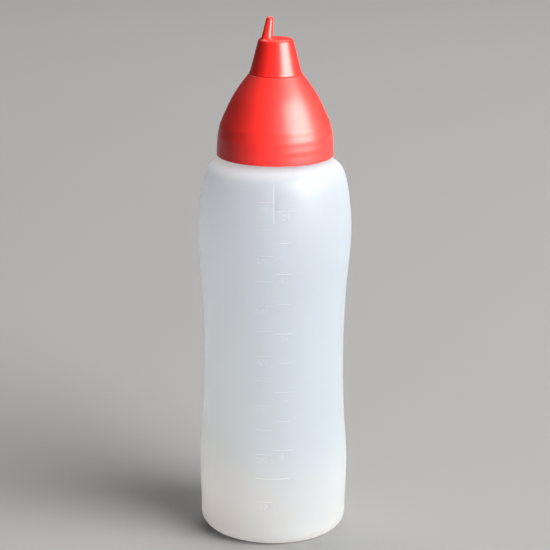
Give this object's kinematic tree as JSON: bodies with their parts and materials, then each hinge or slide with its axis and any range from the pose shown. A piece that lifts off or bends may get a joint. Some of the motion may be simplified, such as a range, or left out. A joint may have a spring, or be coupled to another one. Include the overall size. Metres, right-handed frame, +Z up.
{
  "type": "squeeze bottle",
  "caption": "Waisted milky squeeze bottle for sauces, with a screw-on domed lid that ends in a spout and a small conical cap with a pull tab.",
  "frame": {"origin": "middle of the flat ring that the bottle stands on", "axes": "+Z up along the bottle's axis; the side with the measuring scale looks along -Y, and +X is to its right"},
  "size_m": [0.0776, 0.0776, 0.2659],
  "materials": {
    "bottle_plastic": "milky translucent polyethylene, satin",
    "lid_plastic": "red satin plastic",
    "tip_cap_plastic": "red plastic, glossier than the lid"
  },
  "bodies": {
    "root": {"bottle": "bottle_plastic", "lid": "lid_plastic", "tip_cap": "tip_cap_plastic"}
  },
  "joints": []
}
